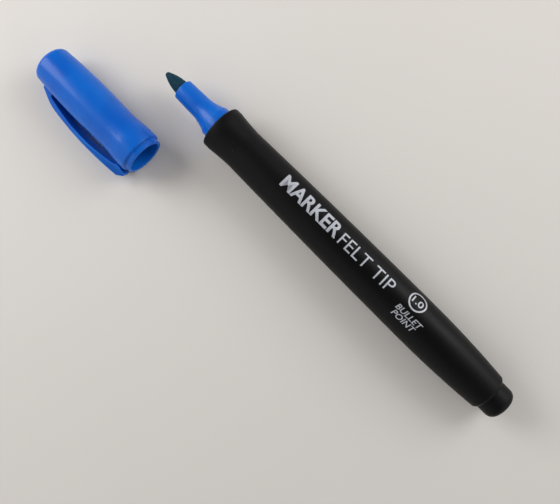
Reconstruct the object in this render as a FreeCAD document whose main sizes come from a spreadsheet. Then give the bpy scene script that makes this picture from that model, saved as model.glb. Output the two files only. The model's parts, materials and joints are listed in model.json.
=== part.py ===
"""Felt tip marker, uncapped, with its pocket-clip cap lying beside it.

The marker's own pieces share one local frame: X runs along the marker's axis from the nib's
point to the tail. The cap's pieces share another: X runs along the cap's axis from its closed
end to its mouth, and its clip stands along local Z. Both are then placed on the table, Z = 0.
"""
import FreeCAD, Part
import math
import os
import re
import Sketcher

# Every size is in millimetres and every angle in degrees.
DIMENSIONS = {
    "nib": {
        "nib_radius": 2.06,             # fibre rod
        "nib_point_length": 6.3,        # from the point to the full radius
        "nib_point_arc": 13.5,          # side curve of the bullet point
        "nib_point_flat": 0.5,         # radius of the point's end before it is rounded
        "nib_point_round": 0.45,
        "nib_length": 30.6,             # reaches into the reservoir
    },
    "nose cone": {
        "nose_front": 6.0,              # distance of its lip from the nib's point
        "nose_lip_radius": 2.89,
        "nose_lip_round": 0.4,
        "nose_neck_end": 11.8,
        "nose_neck_radius": 3.06,
        "nose_flare_arc": 13.0,
        "nose_land_start": 18.1,        # straight land that the cap's mouth closes on
        "nose_land_radius": 4.5,
        "nib_hole_radius": 2.08,
        "nose_chamber_start": 16.4,
        "nose_chamber_radius": 3.0,
        "reservoir_socket_start": 24.0,
        "reservoir_socket_radius": 4.28,
        "nose_plug_radius": 4.98,
        "nose_vent_width": 0.6,         # air groove along the nib hole
        "nose_vent_depth": 0.35,
        "nose_vent_overrun": 1.0,       # past the start of the chamber
    },
    "barrel": {
        "collar_front": 19.94,
        "collar_radius": 6.24,
        "collar_round": 0.6,
        "collar_length": 2.2,           # straight part behind the front rim
        "waist_start_arc": 95.0,
        "waist": 28.5,                  # slimmest place, where the fingers hold it
        "waist_radius": 5.7,
        "grip_arc": 3100.0,
        "belly": 91.8,                  # widest place
        "belly_radius": 6.35,
        "tail_arc": 275.0,
        "shoulder": 116.5,
        "shoulder_radius": 5.24,
        "rear_face": 117.3,
        "rear_face_radius": 4.55,
        "cap_socket_radius": 5.56,       # ring-shaped socket for the cap's lip
        "cap_socket_depth": 1.6,
        "nose_seat_radius": 5.0,
        "nose_seat_end": 30.6,
        "bore_radius": 4.85,
        "bore_end": 109.0,
        "rear_bore_start": 111.5,
        "rear_bore_radius": 3.9,
        "rib_count": 4,                 # hold the reservoir clear of the wall, so air can pass
        "rib_start": 34.6,
        "rib_end": 107.2,
        "rib_inner_radius": 4.24,
        "rib_width": 0.8,
        "rib_root": 0.2,                # depth let into the wall
    },
    "reservoir": {
        "reservoir_start": 24.4,
        "reservoir_end": 107.4,
        "core_radius": 4.07,
        "film_inner_radius": 4.08,
        "film_outer_radius": 4.2,
        "nib_pocket_radius": 2.07,
    },
    "end plug": {
        "plug_front": 107.6,
        "plug_spigot_radius": 3.88,
        "plug_bore_radius": 3.0,
        "plug_bore_end": 120.5,
        "tail_radius": 4.42,            # stub that the cap can be posted on
        "tail_end": 122.24,
        "tail_round": 1.95,
    },
    "cap shell": {
        "dome_radius": 8.0,
        "dome_edge_radius": 4.56,      # where the dome turns over into the side
        "dome_round": 1.5,
        "side_start": 2.6,
        "side_start_radius": 5.31,
        "cap_side_arc": 170.0,
        "cap_middle": 21.4,
        "cap_middle_radius": 5.83,
        "cap_waist": 26.2,
        "cap_waist_radius": 5.72,
        "cap_flare_arc": 40.0,
        "cap_flare": 31.2,
        "cap_flare_radius": 6.0,
        "cap_rim_arc": 19.6,
        "cap_rim_start": 33.8,
        "cap_rim_radius": 6.14,
        "cap_rim_round": 0.45,
        "cap_shoulder": 36.1,
        "cap_lip_radius": 5.5,
        "cap_lip_round": 0.2,
        "cap_length": 37.6,
        "cap_bore_radius": 4.68,
        "cap_bore_end": 25.8,
        "liner_bore_radius": 3.95,
        "cap_end_wall": 1.7,
        "clip_seat_height": 4.95,        # flat that the clip's root stands on
    },
    "inner cap": {
        "liner_end": 13.0,
        "liner_wall_end": 14.0,
        "liner_radius": 3.9,
        "liner_flange_start": 25.85,
        "liner_mouth": 26.7,
        "liner_flange_radius": 4.6,
        "liner_seal_radius": 3.12,
        "liner_entry_radius": 3.7,
        "liner_entry_start": 25.5,
    },
    "clip": {
        "clip_heel": 4.4,
        "clip_heel_height": 5.6,
        "clip_root_end": 7.6,
        "clip_gap_height": 6.1,        # underside where it leaves the shell
        "clip_inner_arc": 48.0,
        "clip_bead_start": 32.6,
        "clip_bead_height": 6.85,
        "clip_bead_arc": 2.55,
        "clip_bead_end": 35.5,
        "clip_end": 36.2,
        "clip_end_low": 7.25,
        "clip_end_high": 8.1,
        "clip_tip_height": 8.8,
        "clip_tip": 34.8,
        "clip_outer_arc": 85.0,
        "clip_crest": 8.8,
        "clip_crest_height": 8.0,
        "clip_crest_round": 12.0,
        "clip_width": 4.2,
        "clip_tip_round": 1.5,
        "clip_fit_gap": 0.05,
    },
    "layout": {
        "middle_x": 48.18,             # half way between the cap's end and the tail
        "marker_y": 11.377,
        "cap_end_x": -25.88,             # cap's closed end, from the nib's point
        "cap_end_y": -19.68,            # and beside the marker's axis
        "cap_end_z": 5.71,
        "cap_pitch": 0.75,              # the mouth is wider, so it lies a little higher
        "cap_yaw": 0.0,
        "clip_roll": 115.9,             # the clip has rolled down on to the table
    },
}

doc = FreeCAD.newDocument("felt_tip_marker")


def make_sheet():
    """Spreadsheet with one row per driving dimension: its group, its name and its value."""
    sheet = doc.addObject("Spreadsheet::Sheet", "Dim")
    row = 0
    for group, sizes in DIMENSIONS.items():
        for name, size in sizes.items():
            row += 1
            sheet.set(f"A{row}", group)
            sheet.set(f"B{row}", name)
            sheet.set(f"C{row}", str(size))
            sheet.setAlias(f"C{row}", name)
    doc.recompute()
    return sheet


sheet = make_sheet()


def bound(text):
    """An expression on the sheet's names, such as "nose_front + 1", with the sheet named."""
    return re.sub(r"\b[a-z]\w*\b(?!\()", lambda name: "Dim." + name.group(), text)


def value(text):
    return float(sheet.evalExpression(text))


def plane_of(body, role):
    return next(item for item in body.Origin.OriginFeatures if item.Role == role)


def new_body(label):
    body = doc.addObject("PartDesign::Body", label)
    body.Label = label
    return body


def arc_between(start, end, radius, convex):
    """The shorter arc from start to end. The outline runs clockwise, material on its right."""
    chord = end - start
    half = chord.Length / 2
    to_right = FreeCAD.Vector(chord.y, -chord.x, 0).normalize()
    rise = math.sqrt(radius ** 2 - half ** 2) * (1 if convex else -1)
    centre = (start + end) / 2 + to_right * rise
    first, last = (end, start) if convex else (start, end)
    angles = [math.atan2(point.y - centre.y, point.x - centre.x) for point in (first, last)]
    if angles[1] < angles[0]:
        angles[1] += 2 * math.pi
    circle = Part.Circle(centre, FreeCAD.Vector(0, 0, 1), radius)
    return Part.ArcOfCircle(circle, *angles)


def outline_sketch(body, name, corners, role="XY_Plane"):
    """Closed outline, clockwise from corner to corner.

    A corner is (x, y) when a line leaves it, or (x, y, "convex" or "hollow", radius) when an arc
    does. Every entry is text on the sheet's names, and becomes a bound constraint.
    """
    sketch = body.newObject("Sketcher::SketchObject", name)
    sketch.AttachmentSupport = (plane_of(body, role), "")
    sketch.MapMode = "FlatFace"
    points = [FreeCAD.Vector(value(corner[0]), value(corner[1]), 0) for corner in corners]
    ends = []
    for index, corner in enumerate(corners):
        start, end = points[index], points[(index + 1) % len(points)]
        if len(corner) == 2:
            sketch.addGeometry(Part.LineSegment(start, end))
            ends.append((1, 2))
        else:
            convex = corner[2] == "convex"
            sketch.addGeometry(arc_between(start, end, value(corner[3]), convex))
            ends.append((2, 1) if convex else (1, 2))
    for index, corner in enumerate(corners):
        edge, start = index, ends[index][0]
        previous = (index - 1) % len(corners)
        meet = Sketcher.Constraint("Coincident", previous, ends[previous][1], edge, start)
        sketch.addConstraint(meet)
        for kind, axis, text in (("DistanceX", -2, corner[0]), ("DistanceY", -1, corner[1])):
            if text == "0":
                sketch.addConstraint(Sketcher.Constraint("PointOnObject", edge, start, axis))
            else:
                distance = Sketcher.Constraint(kind, -1, 1, edge, start, value(text))
                number = sketch.addConstraint(distance)
                sketch.setExpression(f"Constraints[{number}]", bound(text))
        if len(corner) == 4:
            number = sketch.addConstraint(Sketcher.Constraint("Radius", edge, value(corner[3])))
            sketch.setExpression(f"Constraints[{number}]", bound(corner[3]))
    return sketch


def revolve(body, name, corners):
    """The outline turned right round the local X axis."""
    sketch = outline_sketch(body, name + "_outline", corners)
    turned = body.newObject("PartDesign::Revolution", name)
    turned.Profile = (sketch, [""])
    turned.ReferenceAxis = (sketch, ["H_Axis"])
    turned.Angle = 360
    doc.recompute()
    return turned


def edges_where(feature, test):
    numbered = enumerate(feature.Shape.Edges, 1)
    return [f"Edge{number}" for number, edge in numbered if not edge.Degenerated and test(edge)]


def ring_at(x, radius):
    """Test for the round edge about the local X axis at x with that radius."""
    def is_ring(edge):
        if not isinstance(edge.Curve, Part.Circle):
            return False
        same_place = abs(edge.Curve.Center.x - value(x)) < 1e-4
        return same_place and abs(edge.Curve.Radius - value(radius)) < 1e-4
    return is_ring


def round_edges(body, name, radius, test):
    """Fillet on the edges of the body's last feature that pass the test."""
    base = body.Tip
    names = edges_where(base, test)
    if not names:
        raise RuntimeError(f"{name}: no edge to round")
    fillet = body.newObject("PartDesign::Fillet", name)
    fillet.Base = (base, names)
    fillet.Radius = value(radius)
    fillet.setExpression("Radius", bound(radius))
    doc.recompute()
    if "Invalid" in fillet.State:
        raise RuntimeError(f"{name}: the edges can't be rounded")
    return fillet


def pad(body, name, sketch, length, symmetric=False):
    feature = body.newObject("PartDesign::Pad", name)
    feature.Profile = (sketch, [""])
    feature.setExpression("Length", bound(length))
    feature.Midplane = symmetric
    doc.recompute()
    return feature


def cut(body, name, sketch, length, symmetric=False):
    """Pocket that has to take material away."""
    before = body.Shape.Volume
    feature = body.newObject("PartDesign::Pocket", name)
    feature.Profile = (sketch, [""])
    feature.setExpression("Length", bound(length))
    feature.Midplane = symmetric
    doc.recompute()
    if feature.Shape.Volume > before - 1e-3:
        raise RuntimeError(f"{name}: the pocket cuts nothing")
    return feature


def lay_marker_piece(body):
    """On the table, along +X, touching it with the widest place of the barrel."""
    body.setExpression("Placement.Base.x", bound("-middle_x"))
    body.setExpression("Placement.Base.y", bound("marker_y"))
    body.setExpression("Placement.Base.z", bound("belly_radius"))


def lay_cap_piece(body):
    """Beside the marker, rolled on to its clip."""
    turn = FreeCAD.Rotation(value("cap_yaw"), -value("cap_pitch"), value("clip_roll"))
    body.Placement = FreeCAD.Placement(FreeCAD.Vector(), turn)
    body.setExpression("Placement.Base.x", bound("cap_end_x - middle_x"))
    body.setExpression("Placement.Base.y", bound("cap_end_y + marker_y"))
    body.setExpression("Placement.Base.z", bound("cap_end_z"))


def make_nib():
    body = new_body("nib")
    revolve(body, "nib_rod", [
        ("0", "0"),
        ("0", "nib_point_flat", "convex", "nib_point_arc"),
        ("nib_point_length", "nib_radius"),
        ("nib_length", "nib_radius"),
        ("nib_length", "0"),
    ])
    round_edges(body, "nib_point", "nib_point_round", ring_at("0", "nib_point_flat"))
    lay_marker_piece(body)
    return body


def make_nose_cone():
    body = new_body("nose_cone")
    revolve(body, "nose_wall", [
        ("nose_front", "nib_hole_radius"),
        ("nose_front", "nose_lip_radius"),
        ("nose_neck_end", "nose_neck_radius", "hollow", "nose_flare_arc"),
        ("nose_land_start", "nose_land_radius"),
        ("collar_front + cap_socket_depth", "nose_land_radius"),
        ("collar_front + cap_socket_depth", "nose_plug_radius"),
        ("nose_seat_end", "nose_plug_radius"),
        ("nose_seat_end", "reservoir_socket_radius"),
        ("reservoir_socket_start", "reservoir_socket_radius"),
        ("reservoir_socket_start", "nose_chamber_radius"),
        ("nose_chamber_start", "nose_chamber_radius"),
        ("nose_chamber_start", "nib_hole_radius"),
    ])
    vent = outline_sketch(body, "vent_outline", [
        ("nose_front + nose_lip_round", "0"),
        ("nose_front + nose_lip_round", "nib_hole_radius + nose_vent_depth"),
        ("nose_chamber_start + nose_vent_overrun", "nib_hole_radius + nose_vent_depth"),
        ("nose_chamber_start + nose_vent_overrun", "0"),
    ])
    cut(body, "vent_groove", vent, "nose_vent_width", symmetric=True)
    round_edges(body, "nose_lip", "nose_lip_round", ring_at("nose_front", "nose_lip_radius"))
    lay_marker_piece(body)
    return body


def make_barrel():
    body = new_body("barrel")
    revolve(body, "barrel_wall", [
        ("collar_front", "cap_socket_radius"),
        ("collar_front", "collar_radius"),
        ("collar_front + collar_length", "collar_radius", "hollow", "waist_start_arc"),
        ("waist", "waist_radius", "convex", "grip_arc"),
        ("belly", "belly_radius", "convex", "tail_arc"),
        ("shoulder", "shoulder_radius"),
        ("rear_face", "rear_face_radius"),
        ("rear_face", "rear_bore_radius"),
        ("rear_bore_start", "rear_bore_radius"),
        ("bore_end", "bore_radius"),
        ("nose_seat_end", "bore_radius"),
        ("nose_seat_end", "nose_seat_radius"),
        ("collar_front + cap_socket_depth", "nose_seat_radius"),
        ("collar_front + cap_socket_depth", "cap_socket_radius"),
    ])
    round_edges(body, "collar_rim", "collar_round", ring_at("collar_front", "collar_radius"))
    rib_outline = outline_sketch(body, "rib_outline", [
        ("rib_start", "rib_inner_radius"),
        ("rib_start", "bore_radius + rib_root"),
        ("rib_end", "bore_radius + rib_root"),
        ("rib_end", "rib_inner_radius"),
    ])
    rib = pad(body, "rib", rib_outline, "rib_width", symmetric=True)
    ribs = body.newObject("PartDesign::PolarPattern", "ribs")
    ribs.Originals = [rib]
    ribs.Axis = (plane_of(body, "X_Axis"), [""])
    ribs.Angle = 360
    ribs.setExpression("Occurrences", bound("rib_count"))
    body.Tip = ribs
    lay_marker_piece(body)
    return body


def make_reservoir_core():
    body = new_body("reservoir_core")
    revolve(body, "core", [
        ("reservoir_start", "nib_pocket_radius"),
        ("reservoir_start", "core_radius"),
        ("reservoir_end", "core_radius"),
        ("reservoir_end", "0"),
        ("nib_length", "0"),
        ("nib_length", "nib_pocket_radius"),
    ])
    lay_marker_piece(body)
    return body


def make_reservoir_film():
    """Plastic film wrapped round the fibre core, open at both ends."""
    film = doc.addObject("Part::Cut", "reservoir_film")
    film.Label = "reservoir_film"
    for name, radius in (("Base", "film_outer_radius"), ("Tool", "film_inner_radius")):
        tube = doc.addObject("Part::Cylinder", "film_" + name.lower())
        tube.setExpression("Radius", bound(radius))
        tube.setExpression("Height", bound("reservoir_end - reservoir_start"))
        setattr(film, name, tube)
    along_x = FreeCAD.Rotation(FreeCAD.Vector(0, 1, 0), 90)
    film.Placement = FreeCAD.Placement(FreeCAD.Vector(), along_x)
    film.setExpression("Placement.Base.x", bound("reservoir_start - middle_x"))
    film.setExpression("Placement.Base.y", bound("marker_y"))
    film.setExpression("Placement.Base.z", bound("belly_radius"))
    return film


def make_end_plug():
    body = new_body("end_plug")
    revolve(body, "plug", [
        ("plug_front", "plug_bore_radius"),
        ("plug_front", "plug_spigot_radius"),
        ("rear_face", "plug_spigot_radius"),
        ("rear_face", "tail_radius"),
        ("tail_end", "tail_radius"),
        ("tail_end", "0"),
        ("plug_bore_end", "0"),
        ("plug_bore_end", "plug_bore_radius"),
    ])
    round_edges(body, "tail_edge", "tail_round", ring_at("tail_end", "tail_radius"))
    lay_marker_piece(body)
    return body


def make_cap_shell():
    body = new_body("cap_shell")
    dome_depth = "dome_radius - sqrt(dome_radius ^ 2 - dome_edge_radius ^ 2)"
    revolve(body, "cap_wall", [
        ("0", "0", "convex", "dome_radius"),
        (dome_depth, "dome_edge_radius", "convex", "dome_round"),
        ("side_start", "side_start_radius", "convex", "cap_side_arc"),
        ("cap_middle", "cap_middle_radius"),
        ("cap_waist", "cap_waist_radius", "hollow", "cap_flare_arc"),
        ("cap_flare", "cap_flare_radius", "convex", "cap_rim_arc"),
        ("cap_rim_start", "cap_rim_radius"),
        ("cap_shoulder", "cap_rim_radius"),
        ("cap_shoulder", "cap_lip_radius"),
        ("cap_length", "cap_lip_radius"),
        ("cap_length", "cap_bore_radius"),
        ("cap_bore_end", "cap_bore_radius"),
        ("cap_bore_end", "liner_bore_radius"),
        ("cap_end_wall", "liner_bore_radius"),
        ("cap_end_wall", "0"),
    ])
    round_edges(body, "cap_rim", "cap_rim_round", ring_at("cap_shoulder", "cap_rim_radius"))
    round_edges(body, "cap_lip", "cap_lip_round", ring_at("cap_length", "cap_lip_radius"))
    seat = outline_sketch(body, "clip_seat_outline", [
        ("clip_heel - clip_fit_gap", "clip_seat_height"),
        ("clip_heel - clip_fit_gap", "cap_rim_radius"),
        ("clip_root_end + clip_fit_gap", "cap_rim_radius"),
        ("clip_root_end + clip_fit_gap", "clip_seat_height"),
    ], role="XZ_Plane")
    cut(body, "clip_seat", seat, "clip_width + 2 * clip_fit_gap", symmetric=True)
    lay_cap_piece(body)
    return body


def make_inner_cap():
    """Liner that closes round the nose cone's neck, so that the nib stays wet."""
    body = new_body("inner_cap")
    revolve(body, "liner", [
        ("liner_end", "0"),
        ("liner_end", "liner_radius"),
        ("liner_flange_start", "liner_radius"),
        ("liner_flange_start", "liner_flange_radius"),
        ("liner_mouth", "liner_flange_radius"),
        ("liner_mouth", "liner_entry_radius"),
        ("liner_entry_start", "liner_seal_radius"),
        ("liner_wall_end", "liner_seal_radius"),
        ("liner_wall_end", "0"),
    ])
    lay_cap_piece(body)
    return body


def make_cap_clip():
    body = new_body("cap_clip")
    side = outline_sketch(body, "clip_side", [
        ("clip_heel", "clip_seat_height"),
        ("clip_heel", "clip_heel_height"),
        ("clip_crest", "clip_crest_height", "convex", "clip_outer_arc"),
        ("clip_tip", "clip_tip_height"),
        ("clip_end", "clip_end_high"),
        ("clip_end", "clip_end_low"),
        ("clip_bead_end", "clip_bead_height", "convex", "clip_bead_arc"),
        ("clip_bead_start", "clip_bead_height", "hollow", "clip_inner_arc"),
        ("clip_root_end", "clip_gap_height"),
        ("clip_root_end", "clip_seat_height"),
    ], role="XZ_Plane")
    pad(body, "clip_arm", side, "clip_width", symmetric=True)

    def across_width(x, height):
        def is_edge(edge):
            middle = edge.CenterOfMass
            here = abs(middle.x - value(x)) < 1e-3 and abs(middle.z - value(height)) < 1e-3
            return here and abs(edge.Length - value("clip_width")) < 1e-3
        return is_edge

    def stands_at_end(edge):
        return abs(edge.BoundBox.XMin - value("clip_end")) < 1e-3 and edge.BoundBox.YLength < 1e-3

    crest = across_width("clip_crest", "clip_crest_height")
    round_edges(body, "clip_crest", "clip_crest_round", crest)
    round_edges(body, "clip_tip", "clip_tip_round", stands_at_end)
    lay_cap_piece(body)
    return body


def check(pieces):
    doc.recompute()
    failed = [item.Name for item in doc.Objects if {"Invalid", "Error"} & set(item.State)]
    if failed:
        raise RuntimeError(f"failed objects: {failed}")
    for piece in pieces:
        if piece.Shape.isNull() or not piece.Shape.isValid() or len(piece.Shape.Solids) != 1:
            raise RuntimeError(f"{piece.Label} is not one valid solid")


def main():
    pieces = [make() for make in (
        make_barrel, make_nose_cone, make_nib, make_reservoir_core, make_reservoir_film,
        make_end_plug, make_cap_shell, make_inner_cap, make_cap_clip,
    )]
    check(pieces)
    os.makedirs("parts", exist_ok=True)
    for piece in pieces:
        piece.Shape.exportStep(os.path.join("parts", piece.Label + ".step"))
        print(f"{piece.Label}: {piece.Shape.Volume:.1f} mm3")


main()
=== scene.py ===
"""Felt tip marker, uncapped, with its pocket-clip cap beside it.

Each visible piece is turned or moulded in its own frame in metres, and its place is then put
into its mesh. A marker piece has X from the nib's point to the tail; a cap piece has X from
the cap's closed end to its mouth, and Z through the clip.
"""
import json
import math

import bmesh
import bpy
from bpy.props import FloatProperty, FloatVectorProperty, PointerProperty, StringProperty
from mathutils import Matrix, Vector, noise
from mathutils.bvhtree import BVHTree


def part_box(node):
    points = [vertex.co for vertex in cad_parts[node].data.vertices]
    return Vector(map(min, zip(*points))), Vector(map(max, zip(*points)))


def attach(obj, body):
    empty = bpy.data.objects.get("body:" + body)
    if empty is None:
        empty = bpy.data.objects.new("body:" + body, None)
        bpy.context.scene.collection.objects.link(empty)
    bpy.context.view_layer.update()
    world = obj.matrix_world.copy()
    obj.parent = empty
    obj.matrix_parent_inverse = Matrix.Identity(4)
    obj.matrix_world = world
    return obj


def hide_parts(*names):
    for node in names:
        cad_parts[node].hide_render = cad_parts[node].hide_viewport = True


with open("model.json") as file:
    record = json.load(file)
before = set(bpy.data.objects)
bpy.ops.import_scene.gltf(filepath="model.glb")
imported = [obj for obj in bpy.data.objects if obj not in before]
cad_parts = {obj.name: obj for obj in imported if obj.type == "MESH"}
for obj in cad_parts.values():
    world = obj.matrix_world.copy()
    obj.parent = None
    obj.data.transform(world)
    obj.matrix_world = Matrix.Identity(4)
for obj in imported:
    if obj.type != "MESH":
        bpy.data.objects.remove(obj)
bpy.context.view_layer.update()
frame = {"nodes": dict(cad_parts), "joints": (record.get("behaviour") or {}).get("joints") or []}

bl_info = {
    "name": "Felt Tip Marker",
    "version": (1, 0, 0),
    "blender": (4, 5, 0),
    "location": "3D View > Sidebar > Marker",
    "description": "Builds an uncapped felt tip marker and its cap round a fixed frame",
    "category": "Add Mesh",
}

MM = 0.001
TURNS = 144                 # steps of a full turn
WELD = 0.002 * MM
CREASE = math.radians(38)   # sharper edges aren't smoothed over
SKIN = 0.02 * MM            # the barrel stays that far inside its frame, for the printing
PLASTIC_IOR = 1.49
DUST = (0.11, 0.11, 0.105)
FILM = (0.74, 0.78, 0.82)
CREASED_FILM = (0.86, 0.88, 0.90)


# ---------------------------------------------------------------- where things stand

def joint(name):
    return next(item for item in frame["joints"] if item["name"] == name)


def marker_place():
    """From the marker's own frame to the table."""
    low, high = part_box("barrel")
    middle = (low + high) / 2
    return Matrix.Translation((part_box("nib")[0].x, middle.y, middle.z))


def cap_place(cap):
    """From the cap's own frame to the table, by its two joints: one turns it on its axis, and
    the other lifts its clip about the heel."""
    along = -Vector(joint("cap_turn")["axis"])
    lift = Vector(joint("clip_flex")["axis"])
    out = along.cross(-lift).normalized()
    place = Matrix((along, out.cross(along), out)).transposed().to_4x4()
    heel = Vector((cap.clip_heel, 0, cap.clip_base))
    place.translation = Vector(joint("clip_flex")["pos_m"]) - place.to_3x3() @ heel
    return place


# ---------------------------------------------------------------- what a user may change

def length(name, size, description):
    return FloatProperty(name=name, default=size * MM, unit="LENGTH", precision=5,
                         description=description)


def shade(name, value, description):
    return FloatVectorProperty(name=name, default=value, size=3, subtype="COLOR", min=0, max=1,
                               description=description)


class MarkerSizes(bpy.types.PropertyGroup):
    """Distances from the nib's point, and radii."""
    nib_radius: length("Nib radius", 2.06, "Radius of the fibre rod")
    nib_flat: length("Nib flat", 0.5, "Radius of the point's very end")
    nib_point: length("Nib point", 6.3, "Length of the bullet point")
    nib_curve: length("Nib curve", 13.5, "Radius of the bullet point's side")
    nib_end: length("Nib end", 30.6, "Rear end of the rod")
    nib_hole: length("Nib hole", 2.08, "Radius of the hole that holds the nib")
    nose_front: length("Nose front", 6.0, "Front of the nose cone")
    nose_lip: length("Nose lip", 2.89, "Radius of the nose cone's front")
    nose_round: length("Nose rounding", 0.4, "Rounding of that front")
    neck_end: length("Neck end", 11.8, "Where the nose cone starts to flare")
    neck_radius: length("Neck radius", 3.06, "Radius there")
    flare_curve: length("Flare curve", 13.0, "Radius of the hollow flare")
    land_start: length("Land start", 18.1, "Start of the straight land")
    land_radius: length("Land radius", 4.5, "Radius of the straight land")
    chamber_start: length("Chamber start", 16.4, "Front of the chamber round the nib")
    chamber_radius: length("Chamber radius", 3.0, "Radius of that chamber")
    well_start: length("Well start", 24.0, "Front of the well that holds the reservoir")
    well_radius: length("Well radius", 4.28, "Radius of that well")
    plug_radius: length("Plug radius", 4.98, "Radius of the nose cone inside the barrel")
    nose_end: length("Nose end", 30.6, "Rear end of the nose cone")
    collar_front: length("Collar front", 19.94, "Front rim of the barrel")
    collar_radius: length("Collar radius", 6.24, "Radius of the collar")
    collar_round: length("Collar rounding", 0.62, "Rounding of the front rim")
    collar_end: length("Collar end", 22.14, "Where the collar starts to narrow")
    collar_curve: length("Collar curve", 95.0, "Radius of the hollow behind the collar")
    waist: length("Waist", 28.5, "Slimmest place of the grip")
    waist_radius: length("Waist radius", 5.7, "Radius there")
    grip_curve: length("Grip curve", 3100.0, "Radius of the long swelling stretch")
    belly: length("Belly", 91.8, "Widest place")
    belly_radius: length("Belly radius", 6.35, "Radius there")
    tail_curve: length("Tail curve", 275.0, "Radius of the taper towards the tail")
    shoulder: length("Shoulder", 116.5, "Where the taper turns into the step")
    shoulder_radius: length("Shoulder radius", 5.24, "Radius there")
    rear_face: length("Rear face", 117.3, "Rear face of the barrel")
    rear_radius: length("Rear radius", 4.55, "Radius of the rear face")
    socket_radius: length("Socket radius", 5.56, "Ring-shaped socket for the cap's lip")
    socket_end: length("Socket end", 21.54, "Bottom of that socket")
    seat_radius: length("Seat radius", 5.0, "Bore that holds the nose cone")
    bore_radius: length("Bore radius", 4.85, "Bore round the reservoir")
    bore_end: length("Bore end", 109.0, "Where the bore narrows")
    rear_bore: length("Rear bore", 111.5, "Start of the bore that holds the end plug")
    rear_bore_radius: length("Rear bore radius", 3.9, "Radius of that bore")
    spigot_front: length("Spigot front", 107.6, "Front end of the end plug")
    spigot_radius: length("Spigot radius", 3.88, "Radius of the end plug inside the barrel")
    spigot_bore: length("Spigot bore", 3.0, "Radius of the end plug's hollow")
    spigot_wall: length("Spigot wall", 120.5, "Rear end of that hollow")
    tail_radius: length("Tail radius", 4.42, "Radius of the tail stub")
    tail_round: length("Tail rounding", 1.95, "Rounding of the tail's edge")
    tail_end: length("Tail end", 122.24, "End of the tail stub")
    gate_radius: length("Gate radius", 0.75, "Radius of the moulding mark in the tail")
    gate_depth: length("Gate depth", 0.12, "Depth of that mark")


class CapSizes(bpy.types.PropertyGroup):
    """Distances from the cap's closed end, radii, and the clip's heights over the axis."""
    dome_curve: length("Dome curve", 8.0, "Radius of the closed end")
    dome_depth: length("Dome depth", 1.427, "Where the dome turns over into the side")
    dome_radius: length("Dome edge", 4.56, "Radius there")
    dome_round: length("Dome rounding", 1.5, "Rounding between the dome and the side")
    side: length("Side", 2.6, "Start of the long side")
    side_radius: length("Side radius", 5.31, "Radius there")
    side_curve: length("Side curve", 170.0, "Radius of the long side")
    middle: length("Middle", 21.4, "End of the swelling side")
    middle_radius: length("Middle radius", 5.83, "Radius there")
    waist: length("Waist", 26.2, "Where the mouth starts to flare")
    waist_radius: length("Waist radius", 5.72, "Radius there")
    flare_curve: length("Flare curve", 40.0, "Radius of the hollow flare")
    flare: length("Flare", 31.2, "Where the flare turns over into the rim")
    flare_radius: length("Flare radius", 6.0, "Radius there")
    rim_curve: length("Rim curve", 19.6, "Radius of that turn")
    rim: length("Rim", 33.8, "Start of the straight rim")
    rim_radius: length("Rim radius", 6.14, "Radius of the rim")
    rim_round: length("Rim rounding", 0.45, "Rounding of the rim")
    shoulder: length("Shoulder", 36.1, "Step from the rim down to the lip")
    lip_radius: length("Lip radius", 5.5, "Radius of the lip ring")
    lip_round: length("Lip rounding", 0.25, "Rounding of the lip ring")
    mouth: length("Mouth", 37.6, "End of the lip ring")
    bore_radius: length("Bore radius", 4.68, "Radius of the mouth's bore")
    bore_end: length("Bore end", 25.8, "Step inside the bore")
    liner_bore: length("Liner bore", 3.95, "Radius of the bore behind the step")
    end_wall: length("End wall", 1.7, "Thickness of the closed end")
    liner_end: length("Liner end", 13.0, "Closed end of the inner cap")
    liner_wall: length("Liner wall", 14.0, "Inside of that end")
    liner_radius: length("Liner radius", 3.9, "Radius of the inner cap")
    flange: length("Flange", 25.85, "Start of the inner cap's flange")
    flange_radius: length("Flange radius", 4.6, "Radius of that flange")
    liner_mouth: length("Liner mouth", 26.7, "Mouth of the inner cap")
    entry: length("Entry", 25.5, "End of the inner cap's cone-shaped entry")
    entry_radius: length("Entry radius", 3.7, "Radius of its mouth")
    seal_radius: length("Seal radius", 3.12, "Radius of its sealing bore")
    clip_heel: length("Clip heel", 4.4, "Rear end of the clip's root")
    clip_base: length("Clip base", 4.95, "Height of the seat that the root stands in")
    clip_back: length("Clip back", 5.6, "Height of the heel's top")
    clip_crest: length("Clip crest", 7.132, "Where the root starts to turn over")
    crest_height: length("Crest height", 7.09, "Height there")
    crest_round: length("Crest rounding", 12.0, "Rounding there")
    arm_start: length("Arm start", 10.67, "Where the arm starts")
    arm_height: length("Arm height", 8.323, "Height there")
    arm_curve: length("Arm curve", 85.0, "Radius of the arm's outside")
    arm_hollow: length("Arm hollow", 48.0, "Radius of the arm's underside")
    arm_gap: length("Arm gap", 6.1, "Height of the underside at the root")
    root_end: length("Root end", 7.6, "Front end of the root")
    bead: length("Bead", 32.6, "Start of the bead that holds the pocket's edge")
    bead_end: length("Bead end", 35.5, "End of that bead")
    bead_height: length("Bead height", 6.85, "Height of both")
    bead_curve: length("Bead curve", 2.55, "Radius of that bead")
    tip: length("Tip", 34.8, "Where the tip turns down")
    tip_height: length("Tip height", 8.8, "Height there")
    clip_end: length("Clip end", 36.2, "End of the clip")
    end_low: length("End low", 7.25, "Lowest place of the end face")
    end_high: length("End high", 8.1, "Highest place of the end face")
    clip_width: length("Clip width", 4.2, "Width of the clip")
    clip_edge: length("Clip edge", 0.3, "Rounding of the clip's long edges")
    clip_corner: length("Clip corner", 1.4, "Rounding of the tip's corners, seen on its face")


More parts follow.
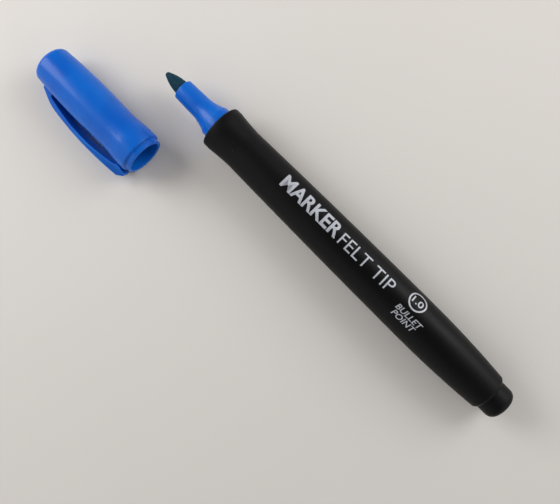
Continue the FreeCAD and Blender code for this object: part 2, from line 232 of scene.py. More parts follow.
class FinishColours(bpy.types.PropertyGroup):
    """Colours of the plastics, the felt, the printing and the floor."""
    black: shade("Black", (0.0030, 0.0030, 0.0034), "Satin plastic of the barrel")
    blue: shade("Blue", (0.004, 0.128, 0.560), "Glossy plastic of the cap and the nose cone")
    deep_blue: shade("Deep blue", (0.002, 0.092, 0.480), "The same plastic where it flowed last")
    felt: shade("Felt", (0.003, 0.026, 0.046), "Bonded fibre wet with ink")
    dry_felt: shade("Dry felt", (0.008, 0.062, 0.092), "Fibres that are less wet")
    silver: shade("Silver", (0.46, 0.48, 0.53), "Printing ink")
    floor: shade("Floor", (0.66, 0.635, 0.605), "Pale sheet under the marker")


class PrintWords(bpy.types.PropertyGroup):
    """Generic wording on the barrel."""
    kind: StringProperty(name="Kind", default="MARKER", description="Bold word")
    range: StringProperty(name="Range", default="FELT TIP", description="Thin words")
    line_width: StringProperty(name="Line width", default="1.0", description="Number in the ring")
    first: StringProperty(name="First line", default="BULLET", description="Small print")
    second: StringProperty(name="Second line", default="POINT", description="Small print")


# ---------------------------------------------------------------- turned and moulded shapes

class Outline:
    """Chain of edges over the X axis, drawn from point to point."""

    def __init__(self, x, height):
        self.body = bmesh.new()
        self.first = self.last = self.body.verts.new((x, 0, height))
        self.corners = []

    def line(self, x, height, rounding=0.0):
        """Straight on to a point. Its corner is rounded when the outline is finished."""
        self.last = bmesh.ops.extrude_vert_indiv(self.body, verts=[self.last])["verts"][0]
        self.last.co = (x, 0, height)
        if rounding:
            self.corners.append((self.last, rounding))

    def arc(self, x, height, radius, steps=12, rounding=0.0):
        """Round to a point. The arc bulges to the left of the way, or to the right if its
        radius is below 0."""
        start, end = self.last.co.copy(), Vector((x, 0, height))
        half = (end - start) / 2
        left = Vector((-half.z, 0, half.x)).normalized()
        side = math.copysign(1, radius)
        centre = start + half - left * side * math.sqrt(radius ** 2 - half.length_squared)
        sweep = 2 * side * math.asin(half.length / abs(radius))
        made = bmesh.ops.spin(self.body, geom=[self.last], cent=centre, axis=(0, 1, 0),
                              angle=sweep, steps=steps)
        self.last = made["geom_last"][0]
        self.last.co = end
        if rounding:
            self.corners.append((self.last, rounding))

    def close(self):
        """Straight back to the first point."""
        self.body.edges.new((self.last, self.first))

    def finish(self, segments=6):
        """The rounded corners put in, and the mesh handed over."""
        for corner, radius in self.corners:
            back, on = (edge.other_vert(corner).co - corner.co for edge in corner.link_edges)
            cut = radius / math.tan(back.angle(on) / 2)
            bmesh.ops.bevel(self.body, geom=[corner], offset=cut, offset_type="OFFSET",
                            affect="VERTICES", segments=segments, profile=0.5, material=-1)
        return self.body


def turned(outline):
    """The outline turned right round the X axis."""
    body = outline.finish()
    bmesh.ops.spin(body, geom=body.verts[:] + body.edges[:], cent=(0, 0, 0), axis=(1, 0, 0),
                   angle=2 * math.pi, steps=TURNS, use_merge=True)
    bmesh.ops.remove_doubles(body, verts=body.verts, dist=WELD)
    bmesh.ops.recalc_face_normals(body, faces=body.faces)
    return body


def add_piece(name, body, rides_on, finish, stands_for=None):
    """Object at the origin with its place in its mesh, tied to the frame."""
    mesh = bpy.data.meshes.new(name)
    body.to_mesh(mesh)
    body.free()
    mesh.shade_smooth()
    mesh.set_sharp_from_angle(angle=CREASE)
    mesh.materials.append(finish)
    item = bpy.data.objects.new(name, mesh)
    bpy.context.scene.collection.objects.link(item)
    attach(item, rides_on)
    if stands_for:
        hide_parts(stands_for)


# ---------------------------------------------------------------- shader arithmetic

class Signal:
    """Output of a node. Python arithmetic on it adds Math nodes."""

    def __init__(self, finish, socket):
        self.finish, self.socket = finish, socket

    def with_math(self, operation, first, second):
        return self.finish.node("ShaderNodeMath", {"operation": operation}, {0: first, 1: second})

    def __add__(self, other):
        return self.with_math("ADD", self, other)

    def __sub__(self, other):
        return self.with_math("SUBTRACT", self, other)

    def __rsub__(self, other):
        return self.with_math("SUBTRACT", other, self)

    def __mul__(self, other):
        return self.with_math("MULTIPLY", self, other)

    __radd__ = __add__
    __rmul__ = __mul__


class Finish:
    """Material with the nodes that make it, on Object coordinates in metres."""

    def __init__(self, name, turn=None, stretch=None):
        self.material = bpy.data.materials.new(name)
        self.material.use_nodes = True
        self.tree = self.material.node_tree
        self.tree.nodes.clear()
        self.place = self.node("ShaderNodeTexCoord", output="Object")
        if turn is not None:
            back = turn.inverted()
            self.place = self.node("ShaderNodeMapping", {"vector_type": "POINT"}, {
                "Vector": self.place, "Location": back.translation, "Rotation": back.to_euler()})
        self.drawn = self.place
        if stretch is not None:
            self.drawn = self.node("ShaderNodeMapping", {"vector_type": "POINT"}, {
                "Vector": self.place, "Scale": stretch})

    def node(self, kind, settings=None, sockets=None, output=0):
        """Adds a node: its type, its settings, and the values or links of its sockets."""
        made = self.tree.nodes.new(kind)
        for key, setting in (settings or {}).items():
            setattr(made, key, setting)
        for key, given in (sockets or {}).items():
            if isinstance(given, Signal):
                self.tree.links.new(given.socket, made.inputs[key])
            else:
                made.inputs[key].default_value = given
        return Signal(self, made.outputs[output]) if made.outputs else made

    def grain(self, per_metre, detail=2.0, roughness=0.5, vector=None):
        """Soft noise from 0 to 1."""
        return self.node("ShaderNodeTexNoise", {"noise_dimensions": "3D"}, {
            "Vector": vector or self.place, "Scale": per_metre, "Detail": detail,
            "Roughness": roughness})

    def specks(self, per_metre, size):
        """1 in scattered round specks and 0 between them."""
        cells = self.node("ShaderNodeTexVoronoi", {"feature": "F1", "voronoi_dimensions": "3D"}, {
            "Vector": self.place, "Scale": per_metre})
        return self.band(cells, size, size * 0.6)

    def band(self, signal, low, high):
        """Signal from low to high, spread smoothly over 0 to 1."""
        return self.node("ShaderNodeMapRange", {"interpolation_type": "SMOOTHSTEP"}, {
            "Value": signal, "From Min": low, "From Max": high})

    def mix(self, share, first, second):
        """Colour between two colours."""
        first, second = (given if isinstance(given, Signal) else (*given, 1)
                         for given in (first, second))
        return self.node("ShaderNodeMix", {"data_type": "RGBA", "clamp_factor": True}, {
            "Factor": share, 6: first, 7: second}, output=2)

    def relief(self, height, depth):
        """Normal of a surface whose height varies over depth, in metres."""
        return self.node("ShaderNodeBump", {}, {"Height": height, "Distance": depth,
                                                "Strength": 1.0})

    def surface(self, sockets):
        """The finished material, from the values and links of its shader's sockets."""
        shader = self.node("ShaderNodeBsdfPrincipled", {}, sockets)
        self.node("ShaderNodeOutputMaterial", {}, {"Surface": shader})
        return self.material


def times(colour, share):
    """Colour made lighter or darker."""
    return tuple(min(1.0, channel * share) for channel in colour)


# ---------------------------------------------------------------- finishes

def satin_black(colours):
    """Satin plastic: spark-eroded grain, a little polish from handling, and specks of dust."""
    paint = Finish("satin_black", stretch=(0.25, 1, 1))
    grain = paint.grain(8500, 2, 0.6)
    cloud = paint.grain(120, 4, 0.55)
    handled = paint.band(paint.grain(45, 3, 0.5, paint.drawn), 0.45, 0.62)
    dust = paint.specks(420, 0.035) * paint.band(cloud, 0.48, 0.60)
    base = paint.mix(cloud, times(colours.black, 0.75), times(colours.black, 1.25))
    base = paint.mix(dust, base, DUST)
    rough = 0.39 + 0.10 * cloud + 0.05 * grain - 0.05 * handled
    return paint.surface({
        "Base Color": base, "Roughness": rough, "IOR": PLASTIC_IOR, "Specular IOR Level": 0.12,
        "Normal": paint.relief(grain + 0.6 * dust, 0.012 * MM)})


def gloss_blue(name, colours, turn, wear):
    """Glossy plastic: flow clouds, drag lines from the mould, and fine scuffs."""
    paint = Finish(name, turn, stretch=(0.04, 1, 1))
    cloud = paint.grain(85, 3, 0.5)
    drag = paint.grain(1900, 2, 0.5, paint.drawn)
    scuff = paint.band(paint.grain(620, 5, 0.7), 0.57, 0.70)
    ripple = paint.grain(700, 2, 0.45)
    base = paint.mix(paint.band(cloud, 0.30, 0.70), colours.deep_blue, colours.blue)
    base = paint.mix(0.06 * scuff * wear, base, times(colours.blue, 1.5))
    rough = 0.19 + 0.05 * cloud + 0.04 * drag + wear * 0.05 * scuff
    return paint.surface({
        "Base Color": base, "Roughness": rough, "IOR": PLASTIC_IOR, "Specular IOR Level": 0.22,
        "Normal": paint.relief(ripple + 0.35 * drag, 0.012 * MM)})


def wet_felt(colours):
    """Bonded fibres along the nib, with darker wet patches between drier ones."""
    paint = Finish("wet_felt", stretch=(0.10, 1, 1))
    fibres = paint.grain(5200, 3, 0.6, paint.drawn)
    pores = paint.grain(6500, 2, 0.6)
    wet = paint.band(paint.grain(380, 3, 0.5), 0.38, 0.66)
    base = paint.mix(paint.band(fibres, 0.40, 0.70), colours.felt, colours.dry_felt)
    base = paint.mix(0.6 * wet, base, colours.felt)
    rough = 0.55 + 0.25 * pores + 0.10 * fibres - 0.15 * wet
    return paint.surface({
        "Base Color": base, "Roughness": rough, "Sheen Weight": 0.02, "Sheen Roughness": 0.5,
        "Specular IOR Level": 0.1,
        "Normal": paint.relief(fibres + 0.5 * pores, 0.06 * MM)})


def silver_print(colours):
    """Silk-screened ink: fine flake, and a coverage that isn't quite even."""
    paint = Finish("silver_print")
    flake = paint.grain(13000, 2, 0.7)
    cover = paint.grain(900, 3, 0.6)
    base = paint.mix(paint.band(cover, 0.35, 0.70), times(colours.silver, 0.86), colours.silver)
    base = paint.mix(paint.band(flake, 0.60, 0.80) * 0.4, base, times(colours.silver, 1.6))
    return paint.surface({
        "Base Color": base, "Roughness": 0.40 + 0.18 * flake, "Metallic": 0.15 + 0.1 * flake,
        "Normal": paint.relief(flake + cover, 0.003 * MM)})


def liner_plastic(colours, turn):
    """Soft matt moulding with rings left by its core pin."""
    paint = Finish("liner_plastic", turn, stretch=(1, 0.05, 0.05))
    rings = paint.grain(2500, 2, 0.5, paint.drawn)
    cloud = paint.grain(200, 3, 0.5)
    base = paint.mix(cloud, times(colours.deep_blue, 0.85), colours.blue)
    return paint.surface({
        "Base Color": base, "Roughness": 0.48 + 0.12 * cloud + 0.08 * rings,
        "Normal": paint.relief(rings + paint.grain(5000, 2, 0.6), 0.01 * MM)})


def ink_core(colours):
    """Fibre bundle soaked with ink."""
    paint = Finish("ink_core", stretch=(0.03, 1, 1))
    fibres = paint.grain(6000, 4, 0.65, paint.drawn)
    soak = paint.band(paint.grain(60, 3, 0.5), 0.40, 0.65)
    base = paint.mix(paint.band(fibres, 0.35, 0.70), colours.felt, colours.dry_felt)
    base = paint.mix(0.5 * soak, base, colours.deep_blue)
    return paint.surface({
        "Base Color": base, "Roughness": 0.70 + 0.20 * fibres,
        "Normal": paint.relief(fibres, 0.08 * MM)})


def clear_film():
    """Thin wrapped film with lengthwise creases."""
    paint = Finish("clear_film", stretch=(0.15, 1, 1))
    crease = paint.band(paint.grain(320, 4, 0.6, paint.drawn), 0.45, 0.60)
    base = paint.mix(crease, FILM, CREASED_FILM)
    return paint.surface({
        "Base Color": base, "Roughness": 0.16 + 0.16 * crease, "Alpha": 0.45 + 0.15 * crease,
        "Normal": paint.relief(crease, 0.03 * MM)})


def pale_sheet(colours):
    """Plain pale floor with the faintest mottling."""
    paint = Finish("pale_sheet")
    mottle = paint.grain(22, 4, 0.5)
    tooth = paint.grain(3500, 2, 0.5)
    base = paint.mix(mottle, times(colours.floor, 0.985), times(colours.floor, 1.015))
    return paint.surface({
        "Base Color": base, "Roughness": 0.72 + 0.10 * tooth, "IOR": 1.3,
        "Normal": paint.relief(tooth, 0.006 * MM)})


# ---------------------------------------------------------------- operators

class BuildBarrel(bpy.types.Operator):
    """Barrel, with its collar, the socket for the cap's lip, and its bore"""
    bl_idname = "marker.barrel"
    bl_label = "Barrel"
    step_round = 0.3 * MM
    rear_round = 0.1 * MM

    def execute(self, context):
        size = context.scene.marker_sizes
        shape = Outline(size.collar_front, size.socket_radius)
        shape.line(size.collar_front, size.collar_radius - SKIN, size.collar_round)
        shape.line(size.collar_end, size.collar_radius - SKIN)
        shape.arc(size.waist, size.waist_radius - SKIN, -size.collar_curve)
        shape.arc(size.belly, size.belly_radius - SKIN, size.grip_curve, steps=32)
        shape.arc(size.shoulder, size.shoulder_radius - SKIN, size.tail_curve, steps=20,
                  rounding=self.step_round)
        shape.line(size.rear_face, size.rear_radius - SKIN, self.rear_round)
        shape.line(size.rear_face, size.rear_bore_radius)
        shape.line(size.rear_bore, size.rear_bore_radius)
        shape.line(size.bore_end, size.bore_radius)
        shape.line(size.nose_end, size.bore_radius)
        shape.line(size.nose_end, size.seat_radius)
        shape.line(size.socket_end, size.seat_radius)
        shape.line(size.socket_end, size.socket_radius)
        shape.close()
        body = turned(shape)
        body.transform(marker_place())
        add_piece("barrel_shell", body, "marker",
                  satin_black(context.scene.finish_colours), "barrel")
        return {"FINISHED"}


class BuildEndPlug(bpy.types.Operator):
    """End plug, with the tail stub and the mark that moulding left in it"""
    bl_idname = "marker.end_plug"
    bl_label = "End plug"
    spigot_round = 0.2 * MM
    gate_round = 0.08 * MM
    pip_foot, pip_top = 0.25 * MM, 0.2 * MM     # radii of the pip in the middle of the mark
    pip_round = 0.05 * MM
    pip_sunk = 0.02 * MM                        # its top under the tail's end

    def execute(self, context):
        size = context.scene.marker_sizes
        shape = Outline(size.spigot_front, size.spigot_bore)
        shape.line(size.spigot_front, size.spigot_radius, self.spigot_round)
        shape.line(size.rear_face, size.spigot_radius)
        shape.line(size.rear_face, size.tail_radius)
        shape.line(size.tail_end, size.tail_radius, size.tail_round)
        shape.line(size.tail_end, size.gate_radius + size.gate_depth, self.gate_round)
        shape.line(size.tail_end - size.gate_depth, size.gate_radius, self.gate_round)
        shape.line(size.tail_end - size.gate_depth, self.pip_foot, self.pip_round)
        shape.line(size.tail_end - self.pip_sunk, self.pip_top, self.pip_round)
        shape.line(size.tail_end - self.pip_sunk, 0)
        shape.line(size.spigot_wall, 0)
        shape.line(size.spigot_wall, size.spigot_bore)
        shape.close()
        body = turned(shape)
        body.transform(marker_place())
        finish = bpy.data.materials["satin_black"]
        add_piece("tail_plug", body, "marker", finish, "end_plug")
        return {"FINISHED"}


class BuildNoseCone(bpy.types.Operator):
    """Nose cone that holds the nib and plugs the front of the barrel"""
    bl_idname = "marker.nose_cone"
    bl_label = "Nose cone"
    step_round = 0.1 * MM
    rear_round = 0.2 * MM
    wear = 0.6                                  # the cap shields it

    def execute(self, context):
        size = context.scene.marker_sizes
        shape = Outline(size.nose_front, size.nib_hole)
        shape.line(size.nose_front, size.nose_lip, size.nose_round)
        shape.line(size.neck_end, size.neck_radius)
        shape.arc(size.land_start, size.land_radius, -size.flare_curve, steps=18)
        shape.line(size.socket_end, size.land_radius, self.step_round)
        shape.line(size.socket_end, size.plug_radius)
        shape.line(size.nose_end, size.plug_radius, self.rear_round)
        shape.line(size.nose_end, size.well_radius)
        shape.line(size.well_start, size.well_radius)
        shape.line(size.well_start, size.chamber_radius)
        shape.line(size.chamber_start, size.chamber_radius)
        shape.line(size.chamber_start, size.nib_hole)
        shape.close()
        body = turned(shape)
        body.transform(marker_place())
        finish = gloss_blue("nose_blue", context.scene.finish_colours, None, self.wear)
        add_piece("nose_holder", body, "marker", finish, "nose_cone")
        return {"FINISHED"}


class BuildNib(bpy.types.Operator):
    """Bullet nib of bonded fibre, its point slightly furrowed along the fibres"""
    bl_idname = "marker.nib"
    bl_label = "Nib"
    point_round = 0.45 * MM
    bare_length = 8.0 * MM                      # the furrows end there, inside the nose cone
    furrow_depth = 0.05 * MM
    furrow_fade = 0.5 * MM                      # they fade out over that radius at the point
    furrows_along, furrows_across = 0.35, 5.5   # per mm
    furrow_noise = (0.7, 2.0, 3)                # falloff, ratio and number of its octaves

    def execute(self, context):
        size = context.scene.marker_sizes
        shape = Outline(0, 0)
        shape.line(0, size.nib_flat, self.point_round)
        shape.arc(size.nib_point, size.nib_radius, size.nib_curve, steps=22)
        shape.line(self.bare_length, size.nib_radius)
        shape.line(size.nib_end, size.nib_radius)
        shape.line(size.nib_end, 0)
        body = turned(shape)
        for vert in body.verts:
            if vert.co.x < self.bare_length:
                spot = vert.co / MM
                around = Vector((spot.x * self.furrows_along, spot.y * self.furrows_across,
                                 spot.z * self.furrows_across))
                furrow = 0.5 + 0.5 * noise.fractal(around, *self.furrow_noise)
                away = Vector((0, vert.co.y, vert.co.z))
                fade = min(1.0, away.length / self.furrow_fade)
                vert.co -= away.normalized() * furrow * fade * self.furrow_depth
        body.transform(marker_place())
        finish = wet_felt(context.scene.finish_colours)
        add_piece("bullet_nib", body, "marker", finish, "nib")
        return {"FINISHED"}


class BuildReservoir(bpy.types.Operator):
    """Finishes for the ink reservoir and its film, which keep their frame shapes"""
    bl_idname = "marker.reservoir"
    bl_label = "Reservoir"

    def execute(self, context):
        finishes = {"reservoir_core": ink_core(context.scene.finish_colours),
                    "reservoir_film": clear_film()}
        for name, finish in finishes.items():
            node = frame["nodes"][name]
            node.data.materials.clear()
            node.data.materials.append(finish)
        return {"FINISHED"}


class BuildCapShell(bpy.types.Operator):
    """Cap, from its domed end to the lip that plugs into the barrel"""
    bl_idname = "marker.cap_shell"
    bl_label = "Cap shell"
    lip_foot_round = 0.08 * MM
    mouth_round = 0.2 * MM
    end_round = 0.4 * MM
    wear = 1.0

    def execute(self, context):
        size = context.scene.cap_sizes
        shape = Outline(0, 0)
        shape.arc(size.dome_depth, size.dome_radius, size.dome_curve, steps=16)
        shape.arc(size.side, size.side_radius, size.dome_round, steps=10)
        shape.arc(size.middle, size.middle_radius, size.side_curve, steps=16)
        shape.line(size.waist, size.waist_radius)
        shape.arc(size.flare, size.flare_radius, -size.flare_curve, steps=10)
        shape.arc(size.rim, size.rim_radius, size.rim_curve, steps=8)
        shape.line(size.shoulder, size.rim_radius, size.rim_round)
        shape.line(size.shoulder, size.lip_radius, self.lip_foot_round)
        shape.line(size.mouth, size.lip_radius, size.lip_round)
        shape.line(size.mouth, size.bore_radius, self.mouth_round)
        shape.line(size.bore_end, size.bore_radius)
        shape.line(size.bore_end, size.liner_bore)
        shape.line(size.end_wall, size.liner_bore, self.end_round)
        shape.line(size.end_wall, 0)
        body = turned(shape)
        place = cap_place(size)
        body.transform(place)
        finish = gloss_blue("cap_blue", context.scene.finish_colours, place, self.wear)
        add_piece("cap_cover", body, "cap", finish, "cap_shell")
        return {"FINISHED"}


class BuildLiner(bpy.types.Operator):
    """Inner cap that seals round the nose cone"""
    bl_idname = "marker.liner"
    bl_label = "Inner cap"
    end_round = 0.3 * MM
    flange_round = 0.15 * MM
    mouth_round = 0.12 * MM
    entry_round = 0.2 * MM

    def execute(self, context):
        size = context.scene.cap_sizes
        shape = Outline(size.liner_end, 0)
        shape.line(size.liner_end, size.liner_radius, self.end_round)
        shape.line(size.flange, size.liner_radius)
        shape.line(size.flange, size.flange_radius)
        shape.line(size.liner_mouth, size.flange_radius, self.flange_round)
        shape.line(size.liner_mouth, size.entry_radius, self.mouth_round)
        shape.line(size.entry, size.seal_radius, self.entry_round)
        shape.line(size.liner_wall, size.seal_radius, self.end_round)
        shape.line(size.liner_wall, 0)
        body = turned(shape)
        place = cap_place(size)
        body.transform(place)
        finish = liner_plastic(context.scene.finish_colours, place)
        add_piece("sealing_liner", body, "cap_liner", finish, "inner_cap")
        return {"FINISHED"}


class BuildClip(bpy.types.Operator):
    """Pocket clip: its side outline, given its width and then rounded all over"""
    bl_idname = "marker.clip"
    bl_label = "Clip"
    tip_round = 0.25 * MM
    end_round = 0.15 * MM
    bead_round = 0.2 * MM
    bead_blend = 0.5 * MM                       # from the bead into the underside
    root_blend = 0.35 * MM                      # from the underside into the root

    def execute(self, context):
        size = context.scene.cap_sizes
        shape = Outline(size.clip_heel, size.clip_base)
        shape.line(size.clip_heel, size.clip_back)
        shape.line(size.clip_crest, size.crest_height)
        shape.arc(size.arm_start, size.arm_height, size.crest_round, 8)
        shape.arc(size.tip, size.tip_height, size.arm_curve, 24, self.tip_round)
        shape.line(size.clip_end, size.end_high, self.end_round)
        shape.line(size.clip_end, size.end_low, self.end_round)
        shape.line(size.bead_end, size.bead_height, self.bead_round)
        shape.arc(size.bead, size.bead_height, size.bead_curve, 8, self.bead_blend)
        shape.arc(size.root_end, size.arm_gap, -size.arm_hollow, 24, self.root_blend)
        shape.line(size.root_end, size.clip_base)
        shape.close()
        body = shape.finish(segments=8)
        bmesh.ops.contextual_create(body, geom=body.edges[:])
        sides = bmesh.ops.extrude_face_region(body, geom=body.faces[:])
        moved = [item for item in sides["geom"] if isinstance(item, bmesh.types.BMVert)]
        bmesh.ops.translate(body, verts=moved, vec=(0, size.clip_width, 0))
        bmesh.ops.translate(body, verts=body.verts, vec=(0, -size.clip_width / 2, 0))
        bmesh.ops.recalc_face_normals(body, faces=body.faces)
        self.round_tip(body, size)
        rims = [edge for edge in body.edges
                if edge.calc_face_angle(0) > CREASE and edge.verts[0].co.z > size.clip_base]
        bmesh.ops.bevel(body, geom=rims, offset=size.clip_edge, offset_type="OFFSET",
                        affect="EDGES", segments=4, profile=0.5, material=-1,
                        clamp_overlap=True)
        place = cap_place(size)
        body.transform(place)
        add_piece("pocket_clip", body, "clip", bpy.data.materials["cap_blue"], "cap_clip")
        return {"FINISHED"}

    def round_tip(self, body, size):
        """Narrows the clip over its last stretch, so that its tip has round corners."""
        start = size.clip_end - size.clip_corner
        for vert in body.verts:
            past = vert.co.x - start
            if past > 0:
                lost = size.clip_corner - math.sqrt(max(0, size.clip_corner ** 2 - past ** 2))
                vert.co.y -= math.copysign(lost, vert.co.y)


class BuildPrint(bpy.types.Operator):
    """Printing on the barrel: generic words and a number in a ring"""
    bl_idname = "marker.print"
    bl_label = "Printing"
    ink_height = 0.012 * MM
    sunk = 0.010 * MM
    strip = 0.35 * MM                           # letters are cut that fine, so that they bend
    letter_weld = 1e-5
    cut_weld = 1e-7
    ring_radius, ring_line = 2.65 * MM, 0.42 * MM
    ring_middle, ring_angle = 87.8 * MM, math.radians(31)

    def execute(self, context):
        words = context.scene.print_words
        ink = silver_print(context.scene.finish_colours)
        # name, text, start, length and height in mm, angle of its baseline, weight, slant
        lines = (
            ("print_kind", words.kind, 42.5, 19.5, 4.20, -3.0, 0.025, 0.0),
            ("print_range", words.range, 62.9, 18.0, 3.45, -4.0, -0.004, 0.0),
            ("print_number", words.line_width, 86.15, 3.3, 1.9, 22.5, 0.012, 0.0),
            ("print_first", words.first, 84.4, 8.3, 1.50, -15.0, 0.010, 0.2),
            ("print_second", words.second, 84.7, 7.3, 1.60, -32.0, 0.010, 0.2),
        )
        for name, text, start, long, high, baseline, weight, slant in lines:
            flat = self.letters(text, weight, slant)
            self.fit(flat, long * MM, high * MM)
            self.wrap(flat, start * MM, math.radians(baseline))
            add_piece(name, flat, "marker", ink)
        ring = self.ring(self.ring_radius, self.ring_line)
        self.wrap(ring, self.ring_middle, self.ring_angle)
        add_piece("print_ring", ring, "marker", ink)
        return {"FINISHED"}

    def letters(self, text, weight, slant):
        """Flat letters a unit high, as a thin solid."""
        curve = bpy.data.curves.new("letters", "FONT")
        curve.body, curve.size, curve.offset, curve.shear = text, 1, weight, slant
        curve.resolution_u, curve.fill_mode = 4, "FRONT"
        source = bpy.data.objects.new("letters", curve)
        bpy.context.scene.collection.objects.link(source)
        bpy.context.view_layer.update()
        mesh = bpy.data.meshes.new_from_object(source.evaluated_get(
            bpy.context.evaluated_depsgraph_get()))
        body = bmesh.new()
        body.from_mesh(mesh)
        bpy.data.objects.remove(source)
        bpy.data.curves.remove(curve)
        bpy.data.meshes.remove(mesh)
        bmesh.ops.remove_doubles(body, verts=body.verts, dist=self.letter_weld)
        return body

    def fit(self, body, long, high):
        """Scales a flat shape to its length and height, from its own lower left corner."""
        spots = list(zip(*(vert.co for vert in body.verts)))
        low, top = (Vector(map(pick, spots)) for pick in (min, max))
        bmesh.ops.translate(body, verts=body.verts, vec=-low)
        scale = (long / (top.x - low.x), high / (top.y - low.y), 1)
        bmesh.ops.scale(body, verts=body.verts, vec=scale)

    def ring(self, radius, line):
        """Flat ring round the origin."""
        body = bmesh.new()
        bmesh.ops.create_circle(body, segments=72, radius=radius)
        bmesh.ops.create_circle(body, segments=72, radius=radius - line)
        bmesh.ops.bridge_loops(body, edges=body.edges[:])
        return body

    def wrap(self, body, start, baseline):
        """Gives a flat shape its thickness and lays it on the barrel. Its X runs along the
        barrel from start, and its Y round it from the baseline's angle."""
        ys = [vert.co.y for vert in body.verts]
        for number in range(math.ceil(min(ys) / self.strip), math.ceil(max(ys) / self.strip)):
            bmesh.ops.bisect_plane(body, geom=body.verts[:] + body.edges[:] + body.faces[:],
                                   dist=self.cut_weld, plane_co=(0, number * self.strip, 0),
                                   plane_no=(0, 1, 0))
        bmesh.ops.triangulate(body, faces=[face for face in body.faces if len(face.verts) > 4])
        made = bmesh.ops.extrude_face_region(body, geom=body.faces[:])
        raised = {item for item in made["geom"] if isinstance(item, bmesh.types.BMVert)}
        skin = BVHTree.FromObject(bpy.data.objects["barrel_shell"],
                                  bpy.context.evaluated_depsgraph_get())
        place = marker_place()
        radius = bpy.context.scene.marker_sizes.belly_radius
        inside = bpy.context.scene.marker_sizes.seat_radius
        for vert in body.verts:
            angle = baseline + vert.co.y / radius
            out = Vector((0, math.sin(angle), math.cos(angle)))
            axis = place @ Vector((start + vert.co.x, 0, 0))
            spot = skin.ray_cast(axis + out * inside, out)[0]
            if spot is None:
                raise RuntimeError("the printing runs off the barrel")
            vert.co = spot + out * (self.ink_height if vert in raised else -self.sunk)
        bmesh.ops.recalc_face_normals(body, faces=body.faces)


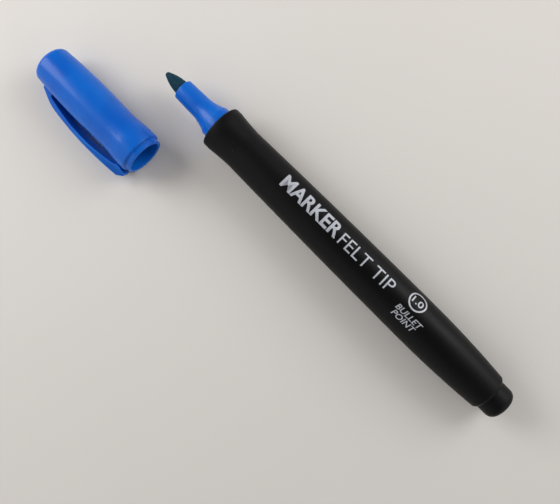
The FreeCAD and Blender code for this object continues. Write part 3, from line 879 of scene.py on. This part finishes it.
class BuildStage(bpy.types.Operator):
    """Pale floor, soft light from both sides, a shade card, and the camera overhead"""
    bl_idname = "marker.stage"
    bl_label = "Stage"
    floor_reach = 1.5
    room_tint = (1.0, 0.985, 0.965, 1)
    wall_light = 0.20
    window_light = 0.98
    window_way = (0.707, 0.707, 0.0)            # the windows are at both ends of this line
    window_fade = (0.08, 0.60)                  # cosines off that line, from wall to window
    windows = (                                 # name, place, size and power
        ("left_window", (-0.31, -0.10, 0.22), 0.22, 0.80),
        ("right_window", (0.13, 0.34, 0.24), 0.22, 0.72),
    )
    card_size = 0.25
    card_spot = (0.060, -0.045, 0.200)
    sensor_width, focal_length = 36, 41.8       # mm
    camera_spot = (0.01513, -0.00076, 0.1743)
    camera_tilt, camera_turn = math.radians(3.03), math.radians(45.04)

    def execute(self, context):
        scene = context.scene
        self.lay_floor(scene)
        self.light_room(scene)
        self.hang_windows(scene)
        self.hang_shade_card(scene)
        self.set_camera(scene)
        scene.view_settings.view_transform = "Standard"
        return {"FINISHED"}

    def lay_floor(self, scene):
        ground = bmesh.new()
        bmesh.ops.create_grid(ground, x_segments=8, y_segments=8, size=self.floor_reach)
        mesh = bpy.data.meshes.new("floor")
        ground.to_mesh(mesh)
        ground.free()
        mesh.materials.append(pale_sheet(scene.finish_colours))
        floor = bpy.data.objects.new("floor", mesh)
        scene.collection.objects.link(floor)

    def light_room(self, scene):
        """Soft light that is brighter from the windows' two sides."""
        world = bpy.data.worlds.new("soft_room")
        world.use_nodes = True
        room = world.node_tree.nodes
        way, side = room.new("ShaderNodeTexCoord"), room.new("ShaderNodeVectorMath")
        either, fade = room.new("ShaderNodeMath"), room.new("ShaderNodeMapRange")
        side.operation, either.operation = "DOT_PRODUCT", "ABSOLUTE"
        side.inputs[1].default_value = self.window_way
        fade.interpolation_type = "SMOOTHSTEP"
        ends = zip(("From Min", "From Max", "To Min", "To Max"),
                   (*self.window_fade, self.wall_light, self.window_light))
        for socket, given in ends:
            fade.inputs[socket].default_value = given
        room["Background"].inputs["Color"].default_value = self.room_tint
        for start, end in ((way.outputs["Generated"], side.inputs[0]),
                           (side.outputs["Value"], either.inputs[0]),
                           (either.outputs[0], fade.inputs["Value"]),
                           (fade.outputs["Result"], room["Background"].inputs["Strength"])):
            world.node_tree.links.new(start, end)
        scene.world = world

    def hang_windows(self, scene):
        """Square lights that face the middle of the table."""
        for name, spot, size, power in self.windows:
            lamp = bpy.data.lights.new(name, "AREA")
            lamp.shape, lamp.size, lamp.energy = "SQUARE", size, power
            light = bpy.data.objects.new(name, lamp)
            light.location = spot
            light.rotation_euler = Vector(spot).to_track_quat("Z", "Y").to_euler()
            scene.collection.objects.link(light)

    def hang_shade_card(self, scene):
        """Black card over the table, as held by someone who leans over it. It keeps the
        ceiling's light off the middle of the floor, and no camera sees it."""
        card = bmesh.new()
        bmesh.ops.create_grid(card, x_segments=1, y_segments=1, size=self.card_size / 2)
        card.transform(Matrix.Translation(self.card_spot) @ Matrix.Rotation(math.pi / 4, 4, "Z"))
        mesh = bpy.data.meshes.new("shade_card")
        card.to_mesh(mesh)
        card.free()
        paint = Finish("black_card")
        weave = paint.grain(900, 2, 0.5)
        mesh.materials.append(paint.surface({
            "Base Color": paint.mix(weave, (0.010, 0.010, 0.010), (0.020, 0.020, 0.020)),
            "Roughness": 0.9, "Specular IOR Level": 0.0}))
        item = bpy.data.objects.new("shade_card", mesh)
        item.visible_camera = False
        scene.collection.objects.link(item)

    def set_camera(self, scene):
        """Camera over the table, leaning a little from upright."""
        lens = bpy.data.cameras.new("overhead")
        lens.sensor_width, lens.lens = self.sensor_width, self.focal_length
        camera = bpy.data.objects.new("overhead", lens)
        camera.location = self.camera_spot
        tilt = Matrix.Rotation(self.camera_tilt, 3, "Y")
        turn = Matrix.Rotation(self.camera_turn, 3, "Z")
        camera.rotation_euler = (tilt @ turn).to_euler()
        scene.collection.objects.link(camera)
        scene.camera = camera


class MarkerPanel(bpy.types.Panel):
    """Lists what can be built and changed"""
    bl_idname = "MARKER_PT_build"
    bl_label = "Felt Tip Marker"
    bl_space_type = "VIEW_3D"
    bl_region_type = "UI"
    bl_category = "Marker"

    def draw(self, context):
        for operator in OPERATORS:
            self.layout.operator(operator.bl_idname)
        for name in GROUPS:
            box = self.layout.box()
            settings = getattr(context.scene, name)
            for key in settings.bl_rna.properties.keys():
                if key not in {"rna_type", "name"}:
                    box.prop(settings, key)


# ---------------------------------------------------------------- registration

OPERATORS = (BuildBarrel, BuildEndPlug, BuildNoseCone, BuildNib, BuildReservoir, BuildCapShell,
             BuildLiner, BuildClip, BuildPrint, BuildStage)
GROUPS = {"marker_sizes": MarkerSizes, "cap_sizes": CapSizes, "finish_colours": FinishColours,
          "print_words": PrintWords}


def register():
    for item in (*GROUPS.values(), *OPERATORS, MarkerPanel):
        bpy.utils.register_class(item)
    for name, group in GROUPS.items():
        setattr(bpy.types.Scene, name, PointerProperty(type=group))


def unregister():
    for name in GROUPS:
        delattr(bpy.types.Scene, name)
    for item in (MarkerPanel, *reversed(OPERATORS), *GROUPS.values()):
        bpy.utils.unregister_class(item)


def main():
    register()
    bpy.ops.marker.barrel()
    bpy.ops.marker.end_plug()
    bpy.ops.marker.nose_cone()
    bpy.ops.marker.nib()
    bpy.ops.marker.reservoir()
    bpy.ops.marker.cap_shell()
    bpy.ops.marker.liner()
    bpy.ops.marker.clip()
    bpy.ops.marker.print()
    bpy.ops.marker.stage()


if __name__ == "__main__":
    main()
